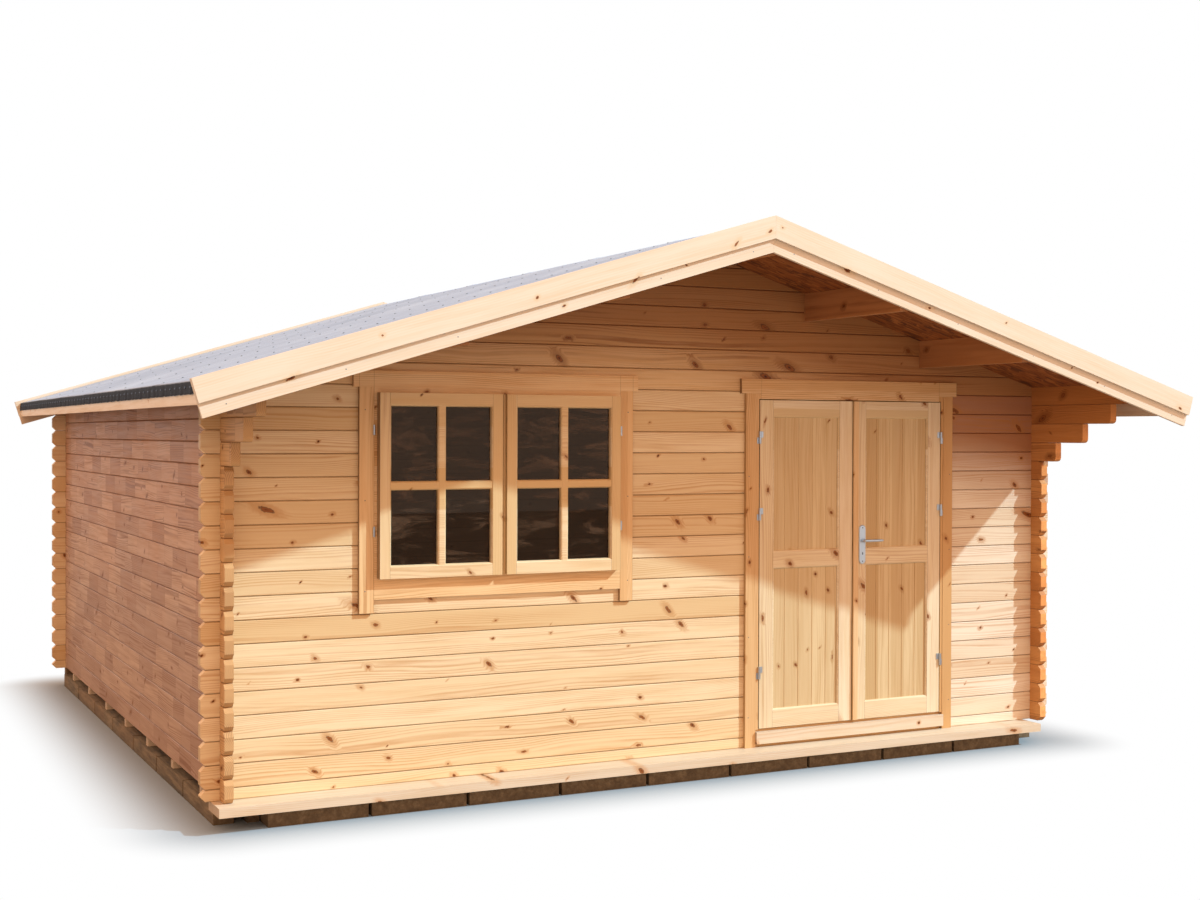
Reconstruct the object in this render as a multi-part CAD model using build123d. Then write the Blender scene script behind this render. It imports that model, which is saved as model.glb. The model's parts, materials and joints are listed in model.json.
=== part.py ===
from build123d import *

import math
import os

os.makedirs("parts", exist_ok=True)

# The cabin stands on z = 0 with its front towards -Y and its middle on the origin.

# Driving sizes of the log walls, in millimetres
course = 114.0
log_thick = 44.0
cabin_width = 5060.0
cabin_depth = 4840.0
stub_reach = 92.0
stub_chamfer = 25.0
v_chamfer = 5.0
bed_gap = 0.4
notch_gap = 0.4
tongue_wide = 18.0
tongue_high = 8.0
tongue_gap = 0.6
full_courses = 17
corbel_reaches = (212.0, 437.0, 661.0)
corbel_round = 26.0

# Foundation and floor
base_high = 130.0
plank_thick = 46.0
plank_long = 5000.0
plank_start = -41.0
plank_proud = 160.0
plank_under_wall = 50.0
base_strip_deep = 70.0
base_block_count = 7
base_block_gap = 18.0
base_block_proud = 15.0
base_block_wide = 100.0
front_block_count = 9
front_block_inset = 70.0
front_block_end_gap = 210.0
shim_high = 42.0
shim_wide = 52.0
shim_deep = 70.0
joist_count = 7
joist_wide = 60.0
floor_thick = 28.0
floor_gap = 3.0

# Roof
roof_slope = 0.30
plate_high = 99.0
deck_thick = 18.0
felt_thick = 3.0
felt_turndown = 54.0
eave_reach = 296.0
overhang_front = 900.0
overhang_back = 120.0
board_thick = 20.0
trim_board_thick = 18.0
board_rise = 42.0
trim_board_high = 108.0
board_high = 173.0
board_end_past_eave = 43.0
fascia_thick = 20.0
fascia_high = 78.0
purlin_wide = 44.0
purlin_high = 145.0
purlin_pitch = 820.0
seat_gap = 0.3

# Window, measured from the cabin's left front corner and the underside of the logs
window_centre = 1447.0
window_half = 715.0
window_sill_course = 8.5
window_head_course = 17.5
window_frame_wide = 43.0
window_frame_foot = 61.0
window_frame_head = 39.0
window_frame_deep = 60.0
sash_proud = 60.0
sash_gap = 0.8
sash_stile = 53.0
sash_bottom_rail = 57.0
sash_top_rail = 58.0
sash_thick = 56.0
meeting_rebate_wide = 13.0
meeting_rebate_deep = 22.0
glass_set_back = 22.0
glass_thick = 4.0
glass_bite = 8.0
window_trim_wide = 76.0
window_trim_overlap = 26.0
window_trim_drop = 108.0
window_board_drop = 42.0
window_board_high = 76.0
window_hinge_heights = (210.0, 715.0)
window_hinge_aside = 19.0
window_hinge_radius = 6.0
window_hinge_high = 50.0

# Shared trim around the openings
trim_thick = 20.0
trim_overlap = 12.0
head_trim_high = 82.0
head_trim_ear = 30.0

# Door
door_centre = 3655.0
leaf_wide = 633.0
leaf_gap = 5.0
leaf_low = 103.0
leaf_thick = 40.0
leaf_proud = 18.0
stile_wide = 90.0
top_rail = 88.0
bottom_rail = 96.0
mid_rail = 83.0
mid_rail_low = 904.0
panel_thick = 15.0
panel_bite = 8.0
panel_gap = 0.5
jamb_wide = 30.0
door_head_high = 42.0
door_trim_wide = 68.0
door_trim_foot = 0.0
threshold_low = 19.0
threshold_high = 67.0
threshold_thick = 34.0
hinge_heights = (280.0, 1170.0, 1600.0)
hinge_radius = 7.0
hinge_half_high = 34.0
hinge_pin_radius = 3.5
hinge_pin_gap = 0.4
hinge_flag_thick = 2.5
hinge_flag_wide = 24.0
hinge_jamb_flag_wide = 16.0
cover_strip_wide = 32.0
cover_strip_thick = 12.0
handle_inset = 65.0
handle_height = 1141.0
handle_plate_wide = 44.0
handle_plate_high = 226.0
handle_plate_thick = 8.0
handle_plate_above = 90.0
handle_plate_corner = 12.0
spindle_square = 8.0
spindle_hole_radius = 7.0
lever_reach = 125.0
lever_radius = 8.5
lever_stand = 34.0
keyhole_drop = 72.0
keyhole_radius = 5.0
round_sides = 8


def level(height):
    """Height above the ground of a height above the underside of the logs."""
    return base_high + height


# Planes and heights that follow from them
total_depth = overhang_front + cabin_depth + overhang_back
front = -total_depth / 2 + overhang_front
back = front + cabin_depth
left = -cabin_width / 2
right = cabin_width / 2
slope_angle = math.atan(roof_slope)
slope_stretch = math.hypot(1.0, roof_slope)
board_front = front - overhang_front
board_back = back + overhang_back
rafter_front = board_front + board_thick
rafter_back = board_back - board_thick
plate_low = full_courses * course
ridge_underside = plate_low + plate_high + roof_slope * cabin_width / 2
eave_run = cabin_width / 2 + eave_reach
board_end_run = eave_run + board_end_past_eave
opening_top = level(window_head_course * course) - bed_gap


def roof_under(x):
    """Height of the roof boards' underside at x."""
    return level(ridge_underside) - roof_slope * abs(x)


def along(x):
    """X of a place measured from the left front corner of the cabin."""
    return left + x


def block(x0, x1, y0, y1, z0, z1):
    """A box between two corners."""
    return Pos((x0 + x1) / 2, (y0 + y1) / 2, (z0 + z1) / 2) * Box(x1 - x0, y1 - y0, z1 - z0)


def prism_y(points, y0, y1):
    """An outline in X and Z drawn out along Y."""
    plane = Plane(origin=(0, y1, 0), x_dir=(1, 0, 0), z_dir=(0, -1, 0))
    return extrude(plane * make_face(Polyline(*points, close=True)), y1 - y0)


def prism_x(points, x0, x1):
    """An outline in Y and Z drawn out along X."""
    plane = Plane(origin=(x0, 0, 0), x_dir=(0, 1, 0), z_dir=(1, 0, 0))
    return extrude(plane * make_face(Polyline(*points, close=True)), x1 - x0)


def bar_z(x, y, z0, z1, radius):
    """An upright round bar."""
    plane = Plane(origin=(x, y, z0), x_dir=(1, 0, 0), z_dir=(0, 0, 1))
    return extrude(plane * RegularPolygon(radius, round_sides), z1 - z0)


def save(name, solids):
    """Write one sub-part with its solids."""
    pieces = solids if isinstance(solids, list) else [solids]
    flat = [solid for piece in pieces for solid in piece.solids()]
    shape = flat[0] if len(flat) == 1 else Compound(children=flat)
    shape.label = name
    export_step(shape, f"parts/{name}.step")


def log_outline(lo, hi, z0, z1, notches, end_lo, end_hi):
    """Side view of a log: cut ends, and at each crossing only the middle of its height."""
    cut_lo = stub_chamfer if end_lo == "stub" else 0
    cut_hi = stub_chamfer if end_hi == "stub" else 0
    under = [(lo + cut_lo, z0)]
    over = [(lo + cut_lo, z1)]
    for at, keep_lo, keep_hi in notches:
        a, b = at - notch_gap, at + log_thick + notch_gap
        if keep_lo > z0:
            under += [(a, z0), (a, keep_lo), (b, keep_lo), (b, z0)]
        if keep_hi < z1:
            over += [(a, z1), (a, keep_hi), (b, keep_hi), (b, z1)]
    under.append((hi - cut_hi, z0))
    over.append((hi - cut_hi, z1))
    outline = under
    if cut_hi:
        outline += [(hi, z0 + cut_hi), (hi, z1 - cut_hi)]
    outline += over[::-1]
    if cut_lo:
        outline += [(lo, z1 - cut_lo), (lo, z0 + cut_lo)]
    return outline


def log_section(face, outer, z0, z1):
    """End view of a log: a plank on edge, its two outer edges planed off for the V joints.

    The outer side is the lower one where outer is -1, and the higher one where it is 1.
    """
    c = v_chamfer
    out, inside = (face, face + log_thick) if outer < 0 else (face + log_thick, face)
    return [(out - outer * c, z0), (inside, z0), (inside, z1), (out - outer * c, z1), (out, z1 - c), (out, z0 + c)]


def tongue_section(mid, z, grow):
    """End view of a log's tongue, or of the groove that takes it with some room."""
    half = tongue_wide / 2 + grow
    return [(mid - half, z - 1), (mid + half, z - 1), (mid + half, z), (mid, z + tongue_high + grow), (mid - half, z)]


def log_along_x(lo, hi, face, outer, z0, z1, notches=(), ends=("square", "square"), tongues=(), grooves=()):
    """A log of the front or back wall, with its lower-y face at y = face."""
    z1 = z1 - bed_gap
    solid = prism_y(log_outline(lo, hi, z0, z1, notches, *ends), face, face + log_thick)
    solid &= prism_x(log_section(face, outer, z0, z1), lo - 1, hi + 1)
    mid = face + log_thick / 2
    for a, b in tongues:
        solid += prism_x(tongue_section(mid, z1, 0), a, b)
    for a, b in grooves:
        solid -= prism_x(tongue_section(mid, z0, tongue_gap), a - 1, b + 1)
    return solid


def log_along_y(lo, hi, face, outer, z0, z1, notches=(), ends=("stub", "stub"), tongues=(), grooves=()):
    """A log of a side wall, with its lower-x face at x = face. A corbel end has a rounded toe."""
    z1 = z1 - bed_gap
    outline = log_outline(lo, hi, z0, z1, notches, *ends)
    plane = Plane(origin=(face, 0, 0), x_dir=(0, 1, 0), z_dir=(1, 0, 0))
    side = make_face(Polyline(*outline, close=True))
    if ends[0] == "corbel":
        toe = side.vertices().sort_by(lambda v: (v.X - lo) ** 2 + (v.Y - z0) ** 2)[0]
        side = fillet(toe, corbel_round)
    solid = extrude(plane * side, log_thick)
    solid &= prism_y(log_section(face, outer, z0, z1), lo - 1, hi + 1)
    mid = face + log_thick / 2
    for a, b in tongues:
        solid += prism_y(tongue_section(mid, z1, 0), a, b)
    for a, b in grooves:
        solid -= prism_y(tongue_section(mid, z0, tongue_gap), a - 1, b + 1)
    return solid


def roof_space():
    """Everything under the roof boards."""
    reach = cabin_width
    points = [(-reach, 0), (reach, 0), (reach, roof_under(reach) - seat_gap),
              (0, roof_under(0) - seat_gap), (-reach, roof_under(-reach) - seat_gap)]
    return prism_y(points, board_front - 1, board_back + 1)


def front_row(i):
    """Lower and upper edge of front or back log i, half a course lower than the side logs."""
    low = max(0.0, (i - 0.5) * course)
    return level(low), level((i + 0.5) * course)


def front_keep(i):
    """What a front or back log keeps of its height where it crosses a side log."""
    return level(max(0.0, (i - 0.25) * course)), level((i + 0.25) * course) - bed_gap


def side_keep(j):
    """What a side log keeps of its height where it crosses a front or back log."""
    return level((j + 0.25) * course), level((j + 0.75) * course) - bed_gap


def cross_wall_log(i, lo, hi, face, tongues=(), grooves=()):
    """A log of the front or back wall between lo and hi; it runs on as a stub past a corner."""
    z0, z1 = front_row(i)
    keep = front_keep(i)
    notches = []
    ends = ["square", "square"]
    if lo <= left:
        lo = left - stub_reach
        notches.append((left, *keep))
        ends[0] = "stub"
    if hi >= right:
        hi = right + stub_reach
        notches.append((right - log_thick, *keep))
        ends[1] = "stub"
    outer = -1 if face == front else 1
    return log_along_x(lo, hi, face, outer, z0, z1, notches, ends, tongues, grooves)


# Where the tongues run: from one corner crossing to the other, or to an opening
crossing = log_thick + notch_gap
inner_left = left + crossing
inner_right = right - crossing
inner_front = front + crossing
inner_back = back - crossing
window_left = along(window_centre - window_half)
window_right = along(window_centre + window_half)
door_half = leaf_wide + 1.5 * leaf_gap
door_left = along(door_centre - door_half - jamb_wide)
door_right = along(door_centre + door_half + jamb_wide)
sill_row = int(window_sill_course + 0.5)
top_row = full_courses


def lower_front_wall():
    """Long logs from the left corner to the door, up to the window."""
    rows = []
    for i in range(sill_row):
        whole = [(inner_left, door_left)]
        above = whole if i < sill_row - 1 else [(inner_left, window_left), (window_right, door_left)]
        below = whole if i else []
        rows.append(cross_wall_log(i, left, door_left, front, above, below))
    return rows


def upper_front_wall(lo, hi, first):
    """Logs beside an opening from row first up to the log under the gable."""
    a, b = max(lo, inner_left), min(hi, inner_right)
    rows = []
    for i in range(first, top_row + 1):
        rows.append(cross_wall_log(i, lo, hi, front, [(a, b)], [(a, b)] if i else []))
    return rows


def back_wall_rows():
    """Back wall logs, whole from corner to corner."""
    rows = []
    for i in range(top_row + 1):
        span = [(inner_left, inner_right)]
        rows.append(cross_wall_log(i, left, right, back - log_thick, span, span if i else []))
    return rows


def purlin_places():
    """X of the ridge purlin and of the two purlins on each side."""
    return [k * purlin_pitch for k in (-2, -1, 0, 1, 2)]


def purlin(x, grow=0.0):
    """A purlin on edge, its top planed to the slope."""
    half = purlin_wide / 2 + grow
    low = min(roof_under(x - half), roof_under(x + half)) - purlin_high - grow
    box = block(x - half, x + half, rafter_front + seat_gap, rafter_back - seat_gap, low, low + 2 * purlin_high)
    return box if grow else box & roof_space()


def gable_rows(face, grooved):
    """Gable logs between the wall plates, cut to the slope and round the purlins."""
    under_roof = roof_space()
    rows = []
    i = top_row + 1
    run = cabin_width / 2 - log_thick - notch_gap
    while front_row(i)[0] < roof_under(0) - course / 3:
        z0, z1 = front_row(i)
        reach = min(run, (level(ridge_underside) - z0) / roof_slope)
        above = min(run, (level(ridge_underside) - z1 - 2 * tongue_high) / roof_slope)
        tongues = [(-above, above)] if above > course else []
        below = min(reach, run) - 2 * v_chamfer
        grooves = grooved if i == top_row + 1 else [(-below, below)]
        outer = -1 if face == front else 1
        solid = log_along_x(-reach, reach, face, outer, z0, z1, tongues=tongues, grooves=grooves)
        solid &= under_roof
        for x in purlin_places():
            solid -= purlin(x, notch_gap)
        rows += [piece for piece in solid.solids() if piece.volume > log_thick ** 3]
        i += 1
    return rows


def side_wall(face):
    """Side logs with their stubs, then three corbels that step out to the front."""
    rows = []
    for j in range(full_courses):
        z0, z1 = level(j * course), level((j + 1) * course)
        corbel = j - (full_courses - len(corbel_reaches))
        reach = corbel_reaches[corbel] if corbel >= 0 else stub_reach
        notches = [(front, *side_keep(j)), (back - log_thick, *side_keep(j))]
        span = [(inner_front, inner_back)]
        ends = ("corbel" if corbel >= 0 else "stub", "stub")
        rows.append(log_along_y(front - reach, back + stub_reach, face, -1 if face == left else 1, z0, z1,
                                notches, ends, span, span if j else []))
    return rows


def wall_plate(face):
    """Top log of a side wall, on to the bargeboards at both ends, its top planed to the slope."""
    z0 = level(plate_low)
    notches = [(front, z0 + course / 4, z0 + 2 * course), (back - log_thick, z0 + course / 4, z0 + 2 * course)]
    lo, hi = rafter_front + seat_gap, rafter_back - seat_gap
    solid = log_along_y(lo, hi, face, -1 if face == left else 1, z0, z0 + 2 * course, notches,
                        ("square", "square"), (), [(inner_front, inner_back)])
    return solid & roof_space()


def sloped_pair(y0, y1, depth_top, depth_low, inner_run, outer_run):
    """Two boards that follow the roof, mitred at the ridge and cut square at the eaves.

    The depths are measured straight down from the line of the roof boards' underside.
    """
    pair = []
    for side in (-1, 1):
        back_cut = (depth_low - depth_top) * math.sin(slope_angle) * math.cos(slope_angle)
        top_out = level(ridge_underside) - depth_top - roof_slope * outer_run
        low_out = level(ridge_underside) - depth_low - roof_slope * (outer_run - back_cut)
        points = [(side * inner_run, level(ridge_underside) - depth_top - roof_slope * inner_run),
                  (side * outer_run, top_out), (side * (outer_run - back_cut), low_out),
                  (side * inner_run, level(ridge_underside) - depth_low - roof_slope * inner_run)]
        pair.append(prism_y(points, y0, y1))
    return pair


# Foundation: a plank on blocks along the front, blocks under the side walls, two timbers under the back wall
plank_left = along(plank_start)
plank_back = front + plank_under_wall
plank_low = base_high - plank_thick
back_strip_front = back - base_strip_deep


def spread(lo, hi, count, gap):
    """Start and end of each of several equal lengths with gaps between them."""
    pitch = (hi - lo + gap) / count
    return [(lo + k * pitch, lo + (k + 1) * pitch - gap) for k in range(count)]


side_spans = spread(plank_back + base_block_gap, back_strip_front - base_block_gap, base_block_count, base_block_gap)


def side_blocks(x0):
    """Row of foundation blocks under a side wall."""
    return [block(x0, x0 + base_block_wide, a, b, 0, base_high - shim_high) for a, b in side_spans]


def front_blocks():
    """Row of foundation blocks under the front plank, set back from its edge."""
    end = right - front_block_end_gap
    y0 = front - plank_proud + front_block_inset
    spans = spread(-end, end, front_block_count, base_block_gap)
    return [block(a, b, y0, plank_back, 0, plank_low - bed_gap) for a, b in spans]


def shims():
    """Packing pieces between the blocks and the side walls."""
    pieces = []
    for x0 in (left, right - shim_deep):
        for a, b in side_spans:
            mid = (a + b) / 2
            pieces.append(block(x0, x0 + shim_deep, mid - shim_wide / 2, mid + shim_wide / 2,
                                base_high - shim_high, base_high - bed_gap))
    return pieces


def joists():
    """Joists from front to back that carry the floor."""
    first = left - base_block_proud + base_block_wide + joist_wide
    step = (2 * abs(first) - joist_wide) / (joist_count - 1)
    lo, hi = plank_back + seat_gap, back_strip_front - seat_gap
    return [block(first + k * step, first + k * step + joist_wide, lo, hi, 0, base_high) for k in range(joist_count)]


save("foundation_front", block(plank_left, plank_left + plank_long, front - plank_proud, plank_back, plank_low,
                               base_high - bed_gap))
save("foundation_front_blocks", front_blocks())
save("foundation_back", [block(left, right, back_strip_front, back, 0, plank_low - bed_gap),
                         block(left, right, back_strip_front, back, plank_low, base_high - bed_gap)])
save("foundation_left", side_blocks(left - base_block_proud))
save("foundation_right", side_blocks(right + base_block_proud - base_block_wide))
save("foundation_shims", shims())
save("floor_joists", joists())
floor_left = left + log_thick + floor_gap
floor_right = right - log_thick - floor_gap
floor_front = front + log_thick + floor_gap
floor_back = back - log_thick - floor_gap
save("floor", block(floor_left, floor_right, floor_front, floor_back, base_high, base_high + floor_thick))

# Log walls
save("front_wall_lower", lower_front_wall())
save("front_wall_left", upper_front_wall(left, window_left, sill_row))
save("front_wall_middle", upper_front_wall(window_right, door_left, sill_row))
save("front_wall_right", upper_front_wall(door_right, right, 0))
front_lintel = [(inner_left, window_left), (window_right, door_left), (door_right, inner_right)]
save("front_gable", gable_rows(front, front_lintel))
save("back_wall", back_wall_rows())
save("back_gable", gable_rows(back - log_thick, [(inner_left, inner_right)]))
save("left_wall", side_wall(left))
save("right_wall", side_wall(right - log_thick))
save("left_wall_plate", wall_plate(left))
save("right_wall_plate", wall_plate(right - log_thick))

# Roof
save("purlins", [purlin(x) for x in purlin_places()])
deck_high = deck_thick * slope_stretch
felt_high = felt_thick * slope_stretch
y_deck = (rafter_front + seat_gap, rafter_back - seat_gap)
deck_pair = []
felt_pair = []
for side in (-1, 1):
    eave_top = roof_under(eave_run)
    ridge = roof_under(0)
    deck_points = [(side * seat_gap, ridge), (side * eave_run, eave_top), (side * eave_run, eave_top + deck_high),
                   (side * seat_gap, ridge + deck_high)]
    deck_pair.append(prism_y(deck_points, *y_deck))
    out = eave_run + seat_gap
    felt_low = ridge + deck_high + seat_gap
    edge = out + felt_thick
    felt_points = [(side * seat_gap, felt_low), (side * out, felt_low - roof_slope * out),
                   (side * out, felt_low - roof_slope * out - felt_turndown),
                   (side * edge, felt_low - roof_slope * out - felt_turndown),
                   (side * edge, felt_low + felt_high - roof_slope * edge),
                   (side * seat_gap, felt_low + felt_high)]
    felt_pair.append(prism_y(felt_points, *y_deck))
save("roof_deck_left", deck_pair[0])
save("roof_deck_right", deck_pair[1])
save("roof_felt_left", felt_pair[0])
save("roof_felt_right", felt_pair[1])

fascias = []
for side in (-1, 1):
    out = side * eave_run
    inside = side * (eave_run - fascia_thick)
    low = roof_under(eave_run) - fascia_high
    fascias.append(block(min(out, inside), max(out, inside), *y_deck, low, low + 2 * fascia_high) & roof_space())
save("eave_fascias", fascias)

trim_low = trim_board_high * slope_stretch - board_rise
board_low = board_high * slope_stretch - board_rise
save("front_bargeboards", sloped_pair(board_front, rafter_front, -board_rise, board_low, seat_gap, board_end_run))
save("front_bargeboard_trims", sloped_pair(board_front - trim_board_thick, board_front, -board_rise, trim_low,
                                           seat_gap, board_end_run))
save("back_bargeboards", sloped_pair(rafter_back, board_back, -board_rise, board_low, seat_gap, board_end_run))
save("back_bargeboard_trims", sloped_pair(board_back, board_back + trim_board_thick, -board_rise, trim_low,
                                          seat_gap, board_end_run))

# Window
window_low = level(window_sill_course * course)
frame_back = front + window_frame_deep
pane_left = window_left + window_frame_wide
pane_right = window_right - window_frame_wide
pane_low = window_low + window_frame_foot
pane_top = opening_top - window_frame_head
window_mid = (window_left + window_right) / 2
wt_left = window_left + window_trim_overlap - window_trim_wide
wt_right = window_right - window_trim_overlap + window_trim_wide
trim_front = front - trim_thick
trim_head = opening_top - trim_overlap
trim_foot = window_low - window_trim_drop
board_z = window_low - window_board_drop
board_top = board_z + window_board_high


def ring(outer, inner, y0, y1):
    """Frame of two uprights between a lower and an upper piece, from outer and inner (x0, x1, z0, z1)."""
    x0, x1, z0, z1 = outer
    a, b, low, high = inner
    return [block(x0, a, y0, y1, low, high), block(b, x1, y0, y1, low, high),
            block(x0, x1, y0, y1, z0, low), block(x0, x1, y0, y1, high, z1)]


# The frame fills the opening, and its narrower front edge stands flush with the trim
frame_mouth = (pane_left, pane_right, pane_low, pane_top)
frame_body = ring((window_left + seat_gap, window_right - seat_gap, window_low, opening_top - seat_gap),
                  frame_mouth, front, frame_back)
lip = window_trim_overlap + seat_gap
frame_lip = ring((window_left + lip, window_right - lip, board_top + seat_gap, trim_head - seat_gap),
                 frame_mouth, trim_front, front)
save("window_frame", [body + edge for body, edge in zip(frame_body, frame_lip)])

sash_front = front - sash_proud
sash_back = sash_front + sash_thick
glass_y = (sash_front + glass_set_back, sash_front + glass_set_back + glass_thick)
sash_z = (pane_low + sash_gap, pane_top - sash_gap)
glass_sheets = []


def sash(x0, x1, meeting_x, side):
    """Frame of one sash with a groove for its glass and a step where it meets the other sash."""
    solid = block(x0, x1, sash_front, sash_back, *sash_z)
    gx0 = x0 + sash_stile + (meeting_rebate_wide if side > 0 else 0)
    gx1 = x1 - sash_stile - (meeting_rebate_wide if side < 0 else 0)
    gz0, gz1 = sash_z[0] + sash_bottom_rail, sash_z[1] - sash_top_rail
    solid -= block(gx0, gx1, sash_front - 1, sash_back + 1, gz0, gz1)
    bite = glass_bite + seat_gap
    solid -= block(gx0 - bite, gx1 + bite, glass_y[0] - seat_gap, glass_y[1] + seat_gap, gz0 - bite, gz1 + bite)
    step = sorted((meeting_x - side, meeting_x + side * meeting_rebate_wide))
    solid -= block(*step, sash_front - 1, sash_front + meeting_rebate_deep, sash_z[0] - 1, sash_z[1] + 1)
    glass_sheets.append(block(gx0 - glass_bite, gx1 + glass_bite, *glass_y, gz0 - glass_bite, gz1 + glass_bite))
    return solid


save("window_sash_left", sash(pane_left + sash_gap, window_mid - sash_gap / 2, window_mid, -1))
save("window_sash_right", sash(window_mid + sash_gap / 2, pane_right - sash_gap, window_mid, 1))
save("window_glass", glass_sheets)

hinges = []
for x in (pane_left + sash_gap - window_hinge_aside, pane_right - sash_gap + window_hinge_aside):
    for height in window_hinge_heights:
        z = pane_low + height
        hinges.append(bar_z(x, trim_front - window_hinge_radius - seat_gap, z, z + window_hinge_high,
                            window_hinge_radius))
save("window_hinges", hinges)

save("window_trim", [
    block(wt_left - head_trim_ear, wt_right + head_trim_ear, trim_front, front, trim_head, trim_head + head_trim_high),
    block(wt_left, wt_left + window_trim_wide, trim_front, front, trim_foot, trim_head - seat_gap),
    block(wt_right - window_trim_wide, wt_right, trim_front, front, trim_foot, trim_head - seat_gap),
    block(wt_left + window_trim_wide + seat_gap, wt_right - window_trim_wide - seat_gap, trim_front, front,
          board_z, board_top)])

# Door frame
leaf_front = front - leaf_proud
leaf_back = leaf_front + leaf_thick
clear_left = door_left + jamb_wide
clear_right = door_right - jamb_wide
leaf_z0 = level(leaf_low)
leaf_z1 = opening_top - door_head_high - leaf_gap
jamb_back = front + log_thick
sill_top = leaf_z0 - leaf_gap
head_low = leaf_z1 + leaf_gap
dt_left = door_left + trim_overlap - door_trim_wide
dt_right = door_right - trim_overlap + door_trim_wide
jambs = [block(door_left + seat_gap, clear_left, leaf_front, jamb_back, sill_top, opening_top - seat_gap),
         block(clear_right, door_right - seat_gap, leaf_front, jamb_back, sill_top, opening_top - seat_gap),
         block(clear_left + seat_gap, clear_right - seat_gap, leaf_front, jamb_back, head_low, opening_top - seat_gap)]
rebates = block(dt_left, dt_left + door_trim_wide + seat_gap, leaf_front - 1, front, 0, opening_top)
rebates += block(dt_right - door_trim_wide - seat_gap, dt_right, leaf_front - 1, front, 0, opening_top)
rebates += block(dt_left, dt_right, leaf_front - 1, front, trim_head - seat_gap, opening_top)
door_sill = block(door_left + seat_gap, door_right - seat_gap, front, jamb_back, base_high, sill_top - seat_gap)
save("door_frame", [jamb - rebates for jamb in jambs] + [door_sill])
save("door_trim", [
    block(dt_left - head_trim_ear, dt_right + head_trim_ear, trim_front, front, trim_head, trim_head + head_trim_high),
    block(dt_left, dt_left + door_trim_wide, trim_front, front, level(door_trim_foot), trim_head - seat_gap),
    block(dt_right - door_trim_wide, dt_right, trim_front, front, level(door_trim_foot), trim_head - seat_gap)])
save("door_threshold", block(dt_left + door_trim_wide + seat_gap, dt_right - door_trim_wide - seat_gap,
                             front - threshold_thick, front, level(threshold_low),
                             level(threshold_low) + threshold_high))

# Door leaves
left_leaf = (clear_left + leaf_gap, clear_left + leaf_gap + leaf_wide)
right_leaf = (clear_right - leaf_gap - leaf_wide, clear_right - leaf_gap)
handle_x = right_leaf[0] + handle_inset
handle_z = level(handle_height)
panel_y = (leaf_front + (leaf_thick - panel_thick) / 2, leaf_front + (leaf_thick + panel_thick) / 2)
rail_z = leaf_z0 + mid_rail_low
panel_fields = ((leaf_z0 + bottom_rail, rail_z), (rail_z + mid_rail, leaf_z1 - top_rail))


def leaf_panels(x0, x1, grow=0.0):
    """The two boarded panels of a leaf, or the grooves that take them."""
    a, b = x0 + stile_wide - panel_bite - grow, x1 - stile_wide + panel_bite + grow
    y0, y1 = panel_y[0] - grow, panel_y[1] + grow
    return [block(a, b, y0, y1, z0 - panel_bite - grow, z1 + panel_bite + grow) for z0, z1 in panel_fields]


def leaf_frame(x0, x1):
    """Stiles and rails of a leaf with the grooves for its panels."""
    rails = ((leaf_z0, leaf_z0 + bottom_rail), (rail_z, rail_z + mid_rail), (leaf_z1 - top_rail, leaf_z1))
    members = [block(x0, x0 + stile_wide, leaf_front, leaf_back, leaf_z0, leaf_z1),
               block(x1 - stile_wide, x1, leaf_front, leaf_back, leaf_z0, leaf_z1)]
    members += [block(x0 + stile_wide, x1 - stile_wide, leaf_front, leaf_back, a, b) for a, b in rails]
    for groove in leaf_panels(x0, x1, panel_gap):
        members = [member - groove for member in members]
    return members


def bore_y(x, z, radius, y0, y1):
    """A round bar or bore along Y."""
    plane = Plane(origin=(x, y1, z), x_dir=(1, 0, 0), z_dir=(0, -1, 0))
    return extrude(plane * RegularPolygon(radius, round_sides), y1 - y0)


hinge_y = leaf_front - hinge_radius


def hinge_half(x, side, z0, bored):
    """One knuckle with its flag, which points to the given side: bored, or with the pin standing in it."""
    z1 = z0 + hinge_half_high
    mid = (z0 + z1) / 2
    wide = hinge_flag_wide if bored else hinge_jamb_flag_wide
    a, b = sorted((x, x + side * wide))
    solid = bar_z(x, hinge_y, z0, z1, hinge_radius)
    solid += block(a, b, leaf_front - hinge_flag_thick - seat_gap, leaf_front - seat_gap, z0, z1)
    if bored:
        return solid - bar_z(x, hinge_y, z0 - 1, mid + hinge_pin_gap, hinge_pin_radius + hinge_pin_gap)
    return solid + bar_z(x, hinge_y, mid, z1 + hinge_half_high / 2, hinge_pin_radius)


left_pin = clear_left + leaf_gap / 2
right_pin = clear_right - leaf_gap / 2
frame_hinges = []
left_hinges = []
right_hinges = []
for height in hinge_heights:
    z = leaf_z0 + height
    for pin, side, leaf_hinges in ((left_pin, 1, left_hinges), (right_pin, -1, right_hinges)):
        frame_hinges.append(hinge_half(pin, -side, z, False))
        leaf_hinges.append(hinge_half(pin, side, z + hinge_half_high + seat_gap, True))
save("door_frame_hinges", frame_hinges)
save("left_door_hinges", left_hinges)
save("right_door_hinges", right_hinges)

save("left_door_frame", leaf_frame(*left_leaf))
save("left_door_panels", leaf_panels(*left_leaf))
spindle_hole = bore_y(handle_x, handle_z, spindle_hole_radius, leaf_front - leaf_thick, leaf_back + leaf_thick)
save("right_door_frame", [member - spindle_hole for member in leaf_frame(*right_leaf)])
save("right_door_panels", leaf_panels(*right_leaf))
save("door_cover_strip", block(right_leaf[0], right_leaf[0] + cover_strip_wide, leaf_front - cover_strip_thick,
                               leaf_front, leaf_z0, leaf_z1))


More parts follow.
